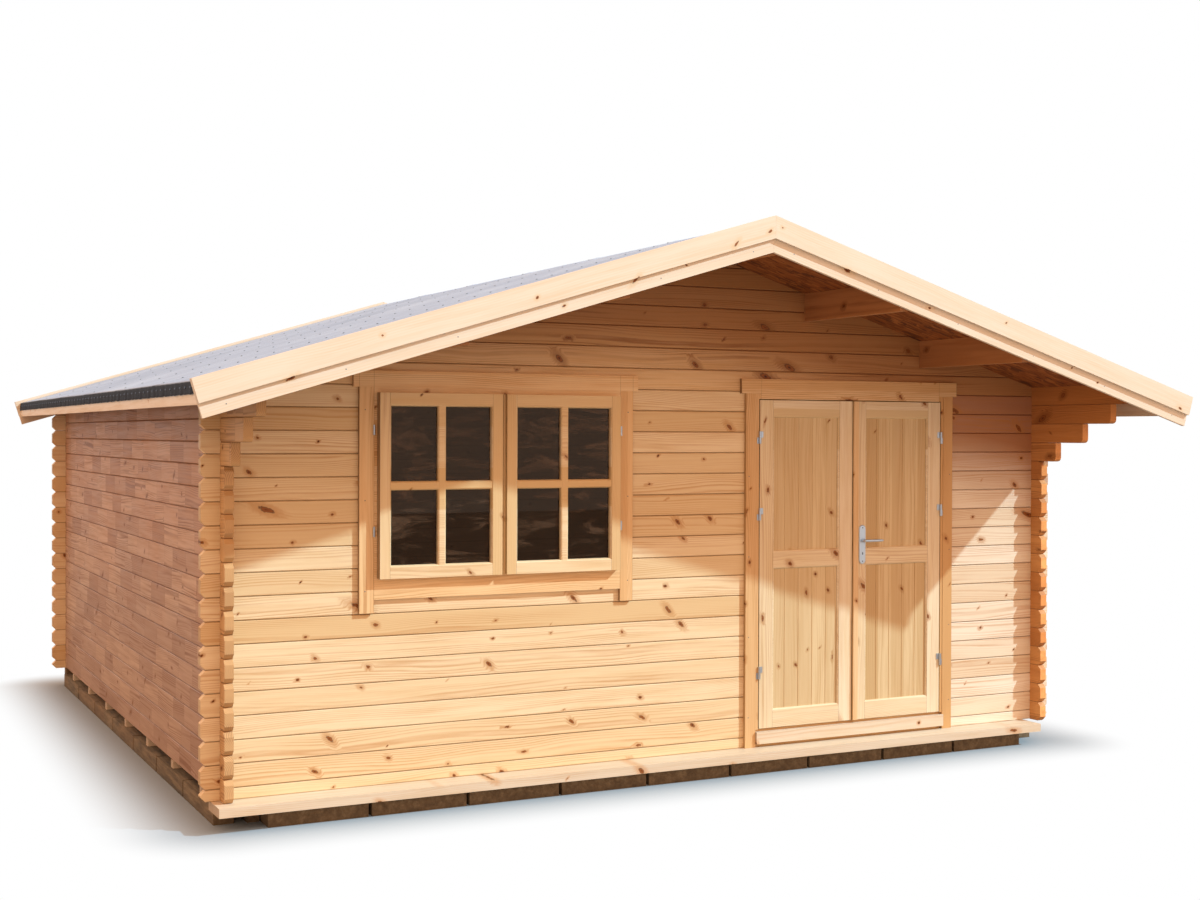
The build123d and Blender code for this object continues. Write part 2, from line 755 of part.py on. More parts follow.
def handle_plate(y0, y1):
    """Long plate with its corners taken off, a spindle hole and a keyhole."""
    z0 = handle_z + handle_plate_above - handle_plate_high
    half = handle_plate_wide / 2
    plate = block(handle_x - half, handle_x + half, y0, y1, z0, z0 + handle_plate_high)
    plate = chamfer(plate.edges().filter_by(Axis.Y), handle_plate_corner)
    keyhole_z = handle_z - keyhole_drop
    keyhole = bore_y(handle_x, keyhole_z, keyhole_radius, y0 - 1, y1 + 1)
    slot_half = keyhole_radius / 2
    keyhole += block(handle_x - slot_half, handle_x + slot_half, y0 - 1, y1 + 1, keyhole_z - 3 * keyhole_radius,
                     keyhole_z)
    return plate - spindle_hole - keyhole


plate_front = leaf_front - handle_plate_thick
plate_back = leaf_back + handle_plate_thick
save("door_handle_plates", [handle_plate(plate_front, leaf_front), handle_plate(leaf_back, plate_back)])


def lever_arm(y, outward):
    """Round lever on its neck, which runs from just off the plate to the plane y."""
    neck = sorted((y, y - outward * (lever_stand - seat_gap)))
    plane = Plane(origin=(handle_x - lever_radius, y, handle_z), x_dir=(0, 1, 0), z_dir=(1, 0, 0))
    arm = extrude(plane * RegularPolygon(lever_radius, round_sides), lever_reach + lever_radius)
    return arm + bore_y(handle_x, handle_z, lever_radius, *neck)


lever_out = plate_front - lever_stand
lever_in = plate_back + lever_stand
half_square = spindle_square / 2
spindle = block(handle_x - half_square, handle_x + half_square, lever_out, lever_in, handle_z - half_square,
                handle_z + half_square)
save("door_lever", spindle + lever_arm(lever_out, -1) + lever_arm(lever_in, 1))
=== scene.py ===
import json
import math
from functools import partial
from types import SimpleNamespace

import bmesh
import bpy
import numpy as np
from mathutils import Matrix, Vector


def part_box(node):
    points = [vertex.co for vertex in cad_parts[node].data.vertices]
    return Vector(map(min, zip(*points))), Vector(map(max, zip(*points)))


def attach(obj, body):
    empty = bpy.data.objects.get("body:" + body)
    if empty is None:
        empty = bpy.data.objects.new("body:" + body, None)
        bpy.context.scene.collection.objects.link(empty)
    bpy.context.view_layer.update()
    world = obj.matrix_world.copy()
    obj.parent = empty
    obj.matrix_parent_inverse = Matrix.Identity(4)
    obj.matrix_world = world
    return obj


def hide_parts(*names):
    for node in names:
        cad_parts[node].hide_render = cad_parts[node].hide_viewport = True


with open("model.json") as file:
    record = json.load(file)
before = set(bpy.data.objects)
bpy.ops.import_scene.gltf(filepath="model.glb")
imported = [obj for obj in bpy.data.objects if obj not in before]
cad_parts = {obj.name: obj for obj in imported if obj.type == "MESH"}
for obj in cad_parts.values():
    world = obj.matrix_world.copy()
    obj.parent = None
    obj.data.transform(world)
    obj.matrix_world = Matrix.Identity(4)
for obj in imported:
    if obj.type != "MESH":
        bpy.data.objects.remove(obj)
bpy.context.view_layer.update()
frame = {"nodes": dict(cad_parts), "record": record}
nodes = frame["nodes"]
bodies = frame["record"]["behaviour"]["bodies"]
body_of_node = {node: body for body, members in bodies.items() for node in members}

# Sizes of the cabin that the finishes and the small pieces share, in metres
MM = 0.001
COURSE = 114 * MM
ROOF_SLOPE = 0.30
BASE_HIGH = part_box("left_wall")[0].z
WALL_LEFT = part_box("left_wall")[0].x
WALL_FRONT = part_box("front_wall_middle")[0].y
WALL_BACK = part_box("back_gable")[1].y
RIDGE_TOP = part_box("roof_felt_left")[1].z
SASH_STILE = 53 * MM
MEETING_STEP = 13 * MM
SASH_RAILS = (57 * MM, 58 * MM)
DOOR_STILE = 90 * MM
DOOR_POST = 130 * MM
DOOR_BOARD = 93.8 * MM
TRIM_EAR = 30 * MM
TRIM_POST = 76 * MM
HEAD_LAP = 11 * MM
trim_low, trim_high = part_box("window_trim")
door_trim_low, door_trim_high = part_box("door_trim")
trim_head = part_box("window_frame")[1].z - HEAD_LAP


def linear(hex_colour):
    """sRGB hex to the linear colour, with its alpha of 1, that the nodes take."""
    parts = [int(hex_colour[i:i + 2], 16) / 255 for i in (1, 3, 5)]
    return (*[c / 12.92 if c <= 0.04045 else ((c + 0.055) / 1.055) ** 2.4 for c in parts], 1.0)


def add_node(tree, kind, *inputs, out=0, stops=None, **named):
    """Add one node: inputs in order or by their capitalised names, settings by their small-letter names."""
    node = tree.nodes.new("ShaderNode" + kind)
    for key in [k for k in named if k[0].islower()]:
        setattr(node, key, named.pop(key))
    for key, value in [*enumerate(inputs), *named.items()]:
        if isinstance(value, bpy.types.NodeSocket):
            tree.links.new(value, node.inputs[key])
        elif value is not None:
            node.inputs[key].default_value = value
    if stops:
        ramp = node.color_ramp.elements
        while len(ramp) < len(stops):
            ramp.new(0.5)
        for element, (place, colour) in zip(ramp, stops):
            element.position = place
            element.color = linear(colour) if isinstance(colour, str) else (*[colour] * 3, 1)
    return node.outputs[out]


def new_material(name):
    """A material with its one shader; returns it with the shader and the add-node function for its tree."""
    material = bpy.data.materials.new(name)
    material.use_nodes = True
    tree = material.node_tree
    return material, tree.nodes["Principled BSDF"], partial(add_node, tree)


def join(node, sockets):
    """Link named outputs to a shader."""
    for key, socket in sockets.items():
        node.id_data.links.new(socket, node.inputs[key])


# How the spruce is drawn. Rings are about three times as wide as real ones, because those would not show
PITH_NEAREST, PITH_DEEPER = 12 * MM, 70 * MM
PITH_ASIDE, PITH_WANDER = 55 * MM, 60 * MM
FIBRE_BEND = 7 * MM
KNOT_BLUR = 9 * MM
KNOT_ZONE = 0.8
NO_KNOT = 50.0
JOINT_LINE = 0.9 * MM
GLUE_LINE = 2.2 * MM
GRAIN_DEEP = 0.7 * MM
JOINT_BROWN = "#6B4022"
SEAM_BROWN = "#6A3D1C"


def grain_axes(n, xyz, axes, uprights, below, slope):
    """Where a point is along the grain, across the board and through it, and the lines of the joints near it.

    Between the two x of each upright, under the height below, the grain stands up: the face axes change
    places. Where boards follow the roof, across is the height above its slope and along is the distance from
    the ridge.
    """
    along, across, through = (xyz[a] for a in axes)
    lines = []
    if uprights:
        spans = [n("Math", xyz["X"], (low + high) / 2, (high - low) / 2, operation="COMPARE")
                 for low, high in uprights]
        edges = [edge for span in uprights for edge in span]
        lines = [n("Math", xyz["X"], edge, JOINT_LINE, operation="COMPARE") for edge in edges]
        standing = spans[0]
        for span in spans[1:]:
            standing = n("Math", standing, span, operation="MAXIMUM")
        under = n("Math", xyz["Z"], below, operation="LESS_THAN")
        standing = n("Math", standing, under, operation="MULTIPLY")
        swap = n("Math", xyz["Z"], xyz["X"], operation="SUBTRACT")
        along = n("Math", standing, swap, xyz["X"], operation="MULTIPLY_ADD")
        back = n("Math", standing, -1.0, operation="MULTIPLY")
        across = n("Math", back, swap, xyz["Z"], operation="MULTIPLY_ADD")
    if slope:
        reach = n("Math", xyz["X"], operation="ABSOLUTE")
        across = n("Math", reach, slope, xyz["Z"], operation="MULTIPLY_ADD")
        along = n("Math", reach, n("Math", xyz["X"], operation="SIGN"), operation="ADD")
    return along, across, through, lines


def board_of(n, along, across, pitch, start, seed, lamella):
    """The board's own number, the height of the point over the board's middle, and its glue lines.

    Boards repeat every pitch from start. Uneven factors keep the numbers of boards and pieces apart.
    """
    shifted = n("Math", across, start, operation="SUBTRACT")
    row = n("Math", n("Math", shifted, pitch, operation="DIVIDE"), operation="FLOOR")
    middle = n("Math", n("Math", row, 0.5, operation="ADD"), pitch, operation="MULTIPLY")
    inside = n("Math", shifted, middle, operation="SUBTRACT")
    board = n("Math", row, 7.31, seed, operation="MULTIPLY_ADD")
    if not lamella:
        return board, inside, []
    run = n("Math", n("Math", along, lamella, operation="DIVIDE"), board, operation="ADD")
    cell = n("TexVoronoi", W=run, Scale=1.0, Randomness=0.8, voronoi_dimensions="1D", out="Color")
    edge = n("TexVoronoi", W=run, Scale=1.0, Randomness=0.8, voronoi_dimensions="1D",
             feature="DISTANCE_TO_EDGE", out="Distance")
    glue = n("MapRange", edge, 0.0, GLUE_LINE / lamella, 1.0, 0.0)
    board = n("Math", n("SeparateColor", cell), 57.0, board, operation="MULTIPLY_ADD")
    return board, inside, [glue]


def knots(n, at, pitch, every, share, smallest, largest):
    """The distance from the nearest knot in units of its size, and that size.

    A board is cut into stretches, each every metres long, with one chance of a knot that has its own height,
    slant and size. The distance is the root of the squares along and across, made uneven by noise. Where the
    knot is a long spike, along counts less. smallest and largest are radii in millimetres.
    """
    own = n("Math", at.board, 3.7, operation="MULTIPLY")
    stretch = n("Math", n("Math", at.along, every, operation="DIVIDE"), own, operation="ADD")
    knot = n("TexVoronoi", W=stretch, Scale=1.0, voronoi_dimensions="1D", out="Color")
    chance = n("SeparateColor", knot).node.outputs
    spike = n("Math", n("Math", chance["Red"], 31.0, operation="MULTIPLY"), operation="FRACT")
    spike = n("MapRange", spike, 0.7, 1.0, 0.75, 0.3)
    off_along = n("Math", stretch, knot.node.outputs["W"], operation="SUBTRACT")
    off_along = n("Math", off_along, n("Math", spike, every, operation="MULTIPLY"), operation="MULTIPLY")
    high = n("Math", chance["Green"], -0.5, operation="ADD")
    off_across = n("Math", high, -pitch * KNOT_ZONE, at.inside, operation="MULTIPLY_ADD")
    slant = n("Math", chance["Blue"], 2.0, -1.0, operation="MULTIPLY_ADD")
    off_across = n("Math", slant, off_along, off_across, operation="MULTIPLY_ADD")
    squares = [n("Math", off, 2.0, operation="POWER") for off in (off_along, off_across)]
    off = n("Math", n("Math", *squares, operation="ADD"), operation="SQRT")
    blur = n("TexNoise", Vector=at.place, Scale=42.0, Detail=2.0)
    blur = n("Math", blur, 2 * KNOT_BLUR, -KNOT_BLUR, operation="MULTIPLY_ADD")
    off = n("Math", off, blur, operation="ADD")
    size = n("Math", chance["Blue"], 2.0, operation="POWER")
    size = n("MapRange", size, 0.0, 1.0, smallest * MM, largest * MM)
    present = n("Math", chance["Red"], share, operation="LESS_THAN")
    away = n("MapRange", present, 0.0, 1.0, NO_KNOT, 0.0)
    return n("Math", n("Math", off, size, operation="DIVIDE"), away, operation="ADD"), size


def year_rings(n, at, rand, halo, knot_size, ring, contrast, deeper, face):
    """How far a point is into dark summer wood, from 0 to 1, and the fibre that roughens it.

    The ring is the distance from a wandering pith, in ring widths. The pith lies a little outside the face,
    so a board shows arches and lines, and the distance grows round a knot, which pushes the rings aside.
    """
    wander_place = n("CombineXYZ", n("Math", at.along, 0.9, operation="MULTIPLY"), at.board, 0.0)
    wander = n("TexNoise", Vector=wander_place, Scale=1.0, Detail=1.5)
    wander = n("Math", wander, 2 * PITH_WANDER, -PITH_WANDER, operation="MULTIPLY_ADD")
    pith_across = n("Math", rand["Red"], 2 * PITH_ASIDE, -PITH_ASIDE, operation="MULTIPLY_ADD")
    pith_across = n("Math", pith_across, wander, operation="ADD")
    pith_deep = n("Math", rand["Green"], deeper, PITH_NEAREST - face, operation="MULTIPLY_ADD")
    from_across = n("Math", n("Math", at.inside, pith_across, operation="SUBTRACT"), 2.0, operation="POWER")
    from_deep = n("Math", n("Math", at.through, pith_deep, operation="ADD"), 2.0, operation="POWER")
    radius = n("Math", n("Math", from_across, from_deep, operation="ADD"), operation="SQRT")
    fibre_place = n("CombineXYZ", n("Math", at.along, 2.2, operation="MULTIPLY"),
                    n("Math", at.across, 38.0, operation="MULTIPLY"),
                    n("Math", at.through, 38.0, operation="MULTIPLY"))
    fibre = n("TexNoise", Vector=fibre_place, Scale=1.0, Detail=4.0, Roughness=0.6)
    radius = n("Math", fibre, FIBRE_BEND, radius, operation="MULTIPLY_ADD")
    push = n("Math", knot_size, 0.9, operation="MULTIPLY")
    radius = n("Math", halo, push, radius, operation="MULTIPLY_ADD")
    phase = n("Math", n("Math", radius, 1 / (ring * MM), operation="MULTIPLY"), operation="FRACT")
    summer = n("ValToRGB", phase, stops=[(0.0, 0.25), (0.1, 0.0), (0.55, 0.18), (0.86, 1.0), (1.0, 0.3)])
    patch_place = n("CombineXYZ", n("Math", at.along, 1.1, operation="MULTIPLY"), at.board,
                    n("Math", at.across, 11.0, operation="MULTIPLY"))
    patch = n("TexNoise", Vector=patch_place, Scale=1.0, Detail=2.0)
    depth = n("Math", n("MapRange", patch, 0.38, 0.62, 0.15, 1.0), contrast, operation="MULTIPLY")
    return n("Math", summer, depth, operation="MULTIPLY"), fibre


def weather_and_painted_light(n, at, xyz, colour, tint, painted_light_stub, painted_eave_shade):
    """The wood's colour after weather, with painted light on log ends and painted shade under the eaves,
    by the rules that spruce gives for tint, stub and heart.
    """
    if tint:
        cloud = n("TexNoise", Vector=at.place, Scale=1.3, Detail=3.0, Roughness=0.6)
        level = n("Math", cloud, 2.0, xyz["Z"], operation="MULTIPLY_ADD")
        washed = n("MixRGB", n("MapRange", level, 1.7, 3.2, 0.0, 1.0), linear(tint[0]), linear(tint[1]))
        colour = n("MixRGB", 0.5, colour, washed)
    # Painted light: past the plane, the log ends that stand out take a paler colour
    if painted_light_stub:
        outside = n("Math", at.along, painted_light_stub[0], operation="LESS_THAN")
        colour = n("MixRGB", outside, colour, linear(painted_light_stub[1]))
    # Painted shade under the eaves: higher up, and further right, the logs turn a warm brown
    if painted_eave_shade:
        right = n("Math", xyz["X"], 0.0, operation="MAXIMUM")
        level = n("Math", right, 0.2, xyz["Z"], operation="MULTIPLY_ADD")
        colour = n("MixRGB", n("MapRange", level, painted_eave_shade[0], painted_eave_shade[1], 0.0, 0.85), colour, linear(painted_eave_shade[2]))
    return colour


def spruce(name, axes, pitch, start, tones, late, knot_every=0.42, knot_share=0.6, knot_size=(4, 17),
           ring=8.0, contrast=0.5, lamella=0.0, face=0.0, slope=0.0, end_grain_and_painted_light=0.72, seed=0.0, seam=0.0,
           uprights=(), below=9.0, painted_eave_shade=None, tint=None, painted_light_stub=None):
    """Planed spruce boards cut from a trunk: a solid texture of year rings round a wandering pith.

    axes names the object axes along the grain, across the board and through it. tones are pale sapwood,
    common wood and warm heartwood, and late is the summer wood's colour. ring and knot_size are in
    millimetres. A lamella length makes each board of finger-jointed pieces, and seam is the half width of the
    dark joint between logs. heart is two heights between which the logs darken to a warm brown, painted shade
    under the eaves, where a fifth of x is added to the height. tint is the colours that weather has given the
    foot and the head of a wall. stub is the plane past which log ends stand out, and the paler colour painted
    on them as painted light.
    """
    material, shader, n = new_material(name)
    place = n("TexCoord", out="Object")
    xyz = n("SeparateXYZ", place).node.outputs
    along, across, through, lines = grain_axes(n, xyz, axes, uprights, below, slope)
    board, inside, glue = board_of(n, along, across, pitch, start, seed, lamella)
    at = SimpleNamespace(place=place, along=along, across=across, through=through, board=board, inside=inside)
    rand = n("SeparateColor", n("TexWhiteNoise", W=board, noise_dimensions="1D", out="Color")).node.outputs
    ratio, size = knots(n, at, pitch, knot_every, knot_share, *knot_size)
    core = n("MapRange", ratio, 0.75, 1.1, 1.0, 0.0)
    halo = n("MapRange", ratio, 1.0, 3.6, 1.0, 0.0, interpolation_type="SMOOTHSTEP")
    deeper = -PITH_DEEPER if axes[2] == "Z" else PITH_DEEPER
    summer, fibre = year_rings(n, at, rand, halo, size, ring, contrast, deeper, face)

    colour = n("ValToRGB", rand["Blue"], stops=[(0.0, tones[0]), (0.5, tones[1]), (1.0, tones[2])])
    colour = n("MixRGB", n("MapRange", fibre, 0.42, 0.72, 0.0, 0.7), colour, linear(tones[2]))
    colour = weather_and_painted_light(n, at, xyz, colour, tint, painted_light_stub, painted_eave_shade)
    colour = n("MixRGB", summer, colour, linear(late))
    colour = n("MixRGB", n("Math", halo, 0.55, operation="MULTIPLY"), colour, linear(late))
    # A knot is the brown end of a branch in a ring of dark bark
    branch = n("ValToRGB", ratio, stops=[(0.0, "#4A2912"), (0.3, "#8A4F22"), (0.65, "#9A5C2A"),
                                         (0.85, "#4F2A10"), (1.0, "#3A1D0B")])
    colour = n("MixRGB", core, colour, branch)
    for line in lines + glue:
        colour = n("MixRGB", n("Math", line, 0.5, operation="MULTIPLY"), colour, linear(JOINT_BROWN))
    if seam:
        # Dust and shade in the joint with the next log
        from_seam = n("Math", pitch / 2, n("Math", inside, operation="ABSOLUTE"), operation="SUBTRACT")
        dark = n("MapRange", from_seam, seam * 0.4, seam, 0.6, 0.0)
        colour = n("MixRGB", dark, colour, linear(SEAM_BROWN))
    # End grain drinks in more light than the planed faces and shows darker; a factor above 1 makes the ends
    # paler instead, as a painted highlight
    normal = n("SeparateXYZ", n("TexCoord", out="Normal")).node.outputs[axes[0]]
    end = n("MapRange", n("Math", normal, operation="ABSOLUTE"), 0.75, 0.95, 1.0, end_grain_and_painted_light)
    colour = n("MixRGB", 1.0, colour, end, blend_type="MULTIPLY")
    height = n("Math", summer, 0.6, fibre, operation="MULTIPLY_ADD")
    join(shader, {
        "Base Color": colour,
        "Roughness": n("MapRange", fibre, 0.3, 0.8, 0.47, 0.65),
        "Normal": n("Bump", 0.35, GRAIN_DEEP, Height=height),
    })
    shader.inputs["Specular IOR Level"].default_value = 0.35
    return material


def spans_of(node, wide_left, wide_right):
    """The two x spans of a frame's uprights."""
    low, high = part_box(node)
    return [(low.x, low.x + wide_left), (high.x - wide_right, high.x)]


# Timber finishes: satin planed wood, where the eye sees pale and warm boards, arched grain and brown knots
LOG_TONES = ("#F2E0BE", "#EBD6B0", "#E0C497")
LOG_LATE = "#BC8248"
BOARD_TONES = ("#E9E1D3", "#DFD4C2", "#D0BC9E")
JOINERY_TONES = ("#ECCFA4", "#E2BF90", "#D3A974")
JOINERY_LATE = "#AD7235"
ROW_START = BASE_HIGH - COURSE / 2
LOG_SEAM = 3.6 * MM

# Front logs: even and pale, as freshly planed, with small knots
front_log = spruce("planed_spruce_front_logs", "XZY", COURSE, ROW_START, LOG_TONES, LOG_LATE,
                   knot_every=0.36, knot_size=(3, 14), face=WALL_FRONT, contrast=0.6, seam=LOG_SEAM)
# Logs right of the door: bleached below, and a warm brown of painted shade where they run up under the eaves
eaves_log = spruce("planed_spruce_front_logs_at_the_right", "XZY", COURSE, ROW_START,
                   ("#F8F0E2", "#F1E7D5", "#E6D5BA"), LOG_LATE, face=WALL_FRONT, contrast=0.7,
                   seam=LOG_SEAM, seed=4.0, painted_eave_shade=(1.9, 2.3, "#A4602A"))
# Gable logs: strong grain, and a warmer brown of painted shade towards the ridge under the roof
gable_log = spruce("planed_spruce_gable_logs", "XZY", COURSE, ROW_START, ("#F4D8AC", "#EECD9C", "#E0B981"),
                   "#8F5A2C", face=WALL_FRONT, contrast=0.8, seam=LOG_SEAM, painted_eave_shade=(2.1, 2.5, "#A9713F"))
# Back logs: the same wood as the front, cut from other trunks
back_log = spruce("planed_spruce_back_logs", "XZY", COURSE, ROW_START, LOG_TONES, LOG_LATE,
                  face=WALL_BACK, seed=31.0, seam=LOG_SEAM)
# Left wall: short finger-jointed pieces of unlike tones, greyed at the foot and tanned at the head, and
# painted light that makes its log ends at the front paler
side_log = spruce("finger_jointed_spruce_side_logs", "YZX", COURSE, BASE_HIGH,
                  ("#D8BEA8", "#C1A594", "#9F7C68"), "#7E5138", face=WALL_LEFT, lamella=0.34, contrast=0.75,
                  knot_size=(4, 9), seam=LOG_SEAM, tint=("#B29A88", "#C88C58"), painted_light_stub=(WALL_FRONT, "#CFA878"),
                  end_grain_and_painted_light=1.0)
# Right wall: sun-tanned orange, and a painted highlight makes its sawn ends paler
right_log = spruce("planed_spruce_right_logs", "YZX", COURSE, BASE_HIGH, ("#DBA468", "#D2955A", "#BE7F46"),
                   "#80491F", face=-WALL_LEFT, contrast=0.7, seed=11.0, end_grain_and_painted_light=1.5, seam=LOG_SEAM)
# Bargeboards and rails: the palest boards, with faint grain and many small knots
roof_board = spruce("planed_spruce_bargeboards", "XZY", pitch=0.2, start=RIDGE_TOP - 0.17,
                    tones=("#EEE9E0", "#E7DFD2", "#DACCB5"), late="#D9C09A", slope=ROOF_SLOPE,
                    face=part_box("front_bargeboards")[0].y, contrast=0.4, knot_every=0.26, knot_size=(4, 12),
                    ring=12.0, end_grain_and_painted_light=0.9)
rail = spruce("planed_spruce_rails", "XZY", pitch=0.21, start=0.03, tones=BOARD_TONES, late="#C98F52",
              face=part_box("foundation_front")[0].y, contrast=0.4, knot_every=0.4)
fascia = spruce("planed_spruce_fascias", "YZX", pitch=0.2, start=0.0, tones=BOARD_TONES, late="#CDA574",
                contrast=0.4)
# Joinery: yellow wood whose grain stands up in the stiles and lies in the rails between them
sash_timber = spruce("planed_spruce_sashes", "XZY", pitch=0.21, start=0.03,
                     tones=("#F2DFBC", "#EBD3AA", "#DFC08E"), late=JOINERY_LATE,
                     face=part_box("window_sash_left")[0].y, contrast=0.4, knot_every=0.4, knot_size=(3, 8),
                     uprights=[*spans_of("window_sash_left", SASH_STILE, SASH_STILE + MEETING_STEP),
                               *spans_of("window_sash_right", SASH_STILE + MEETING_STEP, SASH_STILE)])
window_timber = spruce("planed_spruce_window_trim", "XZY", pitch=0.23, start=0.11,
                       tones=("#F4D8AC", "#F0CE9E", "#E3B984"), late=JOINERY_LATE, face=trim_low.y,
                       contrast=0.6, knot_every=0.26, knot_share=0.75, knot_size=(4, 12), below=trim_head,
                       uprights=[(trim_low.x + TRIM_EAR, trim_low.x + TRIM_EAR + TRIM_POST),
                                 (trim_high.x - TRIM_EAR - TRIM_POST, trim_high.x - TRIM_EAR)])
door_frame_timber = spruce("planed_spruce_door_trim", "XZY", pitch=0.23, start=0.07, tones=JOINERY_TONES,
                           late=JOINERY_LATE, face=door_trim_low.y, contrast=0.6, knot_every=0.26,
                           knot_share=0.75, knot_size=(4, 12), below=trim_head,
                           uprights=spans_of("door_trim", DOOR_POST, DOOR_POST))
leaf_timber = spruce("planed_spruce_door_leaves", "XZY", pitch=0.23, start=0.19,
                     tones=("#F2E6CC", "#EADCBE", "#DEC9A0"), late=JOINERY_LATE,
                     face=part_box("left_door_frame")[0].y, contrast=0.45, knot_every=0.35, knot_share=0.65,
                     uprights=[*spans_of("left_door_frame", DOOR_STILE, DOOR_STILE),
                               *spans_of("right_door_frame", DOOR_STILE, DOOR_STILE)])
stile = spruce("planed_spruce_uprights", "ZXY", pitch=0.17, start=0.05, tones=JOINERY_TONES,
               late=JOINERY_LATE, face=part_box("door_cover_strip")[0].y, contrast=0.4, knot_every=0.4,
               knot_size=(3, 8))
# Door boards: duller and greener than the leaves that hold them, with wide upright rings
door_board = spruce("planed_spruce_door_boards", "ZXY", pitch=DOOR_BOARD,
                    start=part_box("left_door_panels")[0].x, tones=("#E0CCA4", "#D8C29A", "#CBAF82"),
                    late="#B08350", contrast=0.4, knot_every=0.5, knot_share=0.5, knot_size=(4, 10),
                    ring=13.0, face=WALL_FRONT)
# Purlins and floor: plain carpentry that stays in the shade
beam = spruce("planed_spruce_beams", "YZX", pitch=0.4, start=0.1, tones=("#C58C5E", "#B87F52", "#A36B3E"),
              late="#7E4A1F")
floor_board = spruce("planed_spruce_floor_boards", "YXZ", pitch=0.12, start=0.0, tones=LOG_TONES,
                     late=LOG_LATE, seed=5.0)


def strand_board():
    """Pressed strand board: flakes about 90 by 20 mm lying every way, glued dark between."""
    material, shader, n = new_material("pressed_strand_board")
    place = n("TexCoord", out="Object")
    layers = []
    for turn in (0.3, 1.35, 2.4):
        turned = n("Mapping", place, Rotation=(0, 0, turn), Scale=(11.0, 48.0, 1.0))
        layers.append(n("TexVoronoi", Vector=turned, Scale=1.0, out="Color"))
    pick = n("TexVoronoi", Vector=place, Scale=16.0, out="Color")
    chosen = n("SeparateColor", pick).node.outputs
    first = n("MixRGB", n("Math", chosen["Red"], 0.5, operation="GREATER_THAN"), layers[0], layers[1])
    flake = n("MixRGB", n("Math", chosen["Green"], 0.6, operation="GREATER_THAN"), first, layers[2])
    tone = n("ValToRGB", n("SeparateColor", flake),
             stops=[(0.0, "#5A2E10"), (0.3, "#824718"), (0.7, "#965624"), (1.0, "#AC6C38")])
    join(shader, {"Base Color": tone, "Normal": n("Bump", 0.4, 1.0 * MM, Height=n("SeparateColor", flake))})
    shader.inputs["Roughness"].default_value = 0.7
    return material


FELT_LOW, FELT_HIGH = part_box("roof_felt_right")
FELT_STRIPS = 6
STRIP_WIDE = (FELT_HIGH.y - FELT_LOW.y) / FELT_STRIPS


def mineral_felt():
    """Roofing felt faced with slate grit: blue-grey strips, black bitumen at the laps, and painted shade that
    blackens the turned-down eave.
    """
    material, shader, n = new_material("slate_faced_roofing_felt")
    place = n("TexCoord", out="Object")
    # Grit is drawn three times as coarse as the real 1.5 mm, which would not show
    grit = n("TexVoronoi", Vector=place, Scale=220.0, out="Color")
    cloud = n("TexNoise", Vector=place, Scale=1.6, Detail=5.0, Roughness=0.65)
    speck = n("SeparateColor", grit)
    across = n("Math", n("SeparateXYZ", place, out="Y"), FELT_LOW.y, operation="SUBTRACT")
    strip = n("Math", n("Math", across, STRIP_WIDE, operation="DIVIDE"), 1.0, operation="ADD")
    strip_number = n("Math", strip, operation="FLOOR")
    strip_tone = n("TexWhiteNoise", W=strip_number, noise_dimensions="1D", out="Value")
    part = n("Math", strip, operation="FRACT")
    lap = n("Math", n("MapRange", part, 0.0, 0.016, 1.0, 0.0), n("MapRange", part, 0.993, 1.0, 0.0, 1.0),
            operation="ADD")
    cloud = n("Math", strip_tone, 0.16, cloud, operation="MULTIPLY_ADD")
    tone = n("ValToRGB", cloud, stops=[(0.2, "#8AA2C0"), (0.6, "#A0B9D8"), (0.95, "#B6D0EC")])
    tone = n("MixRGB", n("Math", speck, 0.3, operation="MULTIPLY"), tone, linear("#6B7488"))
    tone = n("MixRGB", n("Math", lap, 0.7, operation="MULTIPLY"), tone, linear("#454B58"))
    # Painted shade: faces that stand upright, the turned-down eave, go near black
    normal = n("SeparateXYZ", n("TexCoord", out="Normal")).node.outputs["Z"]
    upright = n("MapRange", n("Math", normal, operation="ABSOLUTE"), 0.55, 0.85, 1.0, 0.0)
    tone = n("MixRGB", upright, tone, linear("#20232B"))
    join(shader, {"Base Color": tone, "Normal": n("Bump", 0.5, 1.0 * MM, Height=speck)})
    shader.inputs["Roughness"].default_value = 0.85
    return material


BLOCKS_PER_METRE = 1.96


def weathered_timber():
    """Treated ground timbers gone grey and olive, with cracks along the grain, darker at the foot."""
    material, shader, n = new_material("weathered_treated_timber")
    place = n("TexCoord", out="Object")
    xyz = n("SeparateXYZ", place).node.outputs
    long_place = n("Mapping", place, Scale=(30.0, 4.0, 30.0))
    fibre = n("TexNoise", Vector=long_place, Scale=1.0, Detail=5.0, Roughness=0.7)
    block = n("Math", n("Math", xyz["Y"], BLOCKS_PER_METRE, operation="MULTIPLY"), operation="FLOOR")
    block = n("TexWhiteNoise", W=block, noise_dimensions="1D", out="Value")
    tone = n("ValToRGB", fibre, stops=[(0.3, "#4C4335"), (0.5, "#75664F"), (0.7, "#94846A")])
    tone = n("MixRGB", n("Math", block, 0.4, operation="MULTIPLY"), tone, linear("#8A6B4B"))
    # Darker towards the foot, within 5 cm of the floor
    darker_foot = n("MapRange", xyz["Z"], 0.0, 0.05, 0.45, 0.0)
    tone = n("MixRGB", darker_foot, tone, linear("#3A342A"))
    join(shader, {"Base Color": tone, "Normal": n("Bump", 0.8, 2.0 * MM, Height=fibre)})
    shader.inputs["Roughness"].default_value = 0.85
    return material


def brushed_metal(name, tone, rough):
    """Zinc-plated steel or satin aluminium: a soft grey gleam with faint brushing up and down."""
    material, shader, n = new_material(name)
    # Brush lines are drawn about 1 mm apart, some ten times as coarse as real ones, which would not show
    place = n("Mapping", n("TexCoord", out="Object"), Scale=(900.0, 900.0, 30.0))
    brush = n("TexNoise", Vector=place, Scale=1.0, Detail=2.0)
    shade = n("Math", brush, 0.2, operation="MULTIPLY")
    join(shader, {"Roughness": n("MapRange", brush, 0.3, 0.7, rough - 0.06, rough + 0.08),
                  "Base Color": n("MixRGB", shade, linear(tone), linear("#8F939B"))})
    shader.inputs["Metallic"].default_value = 1.0
    return material


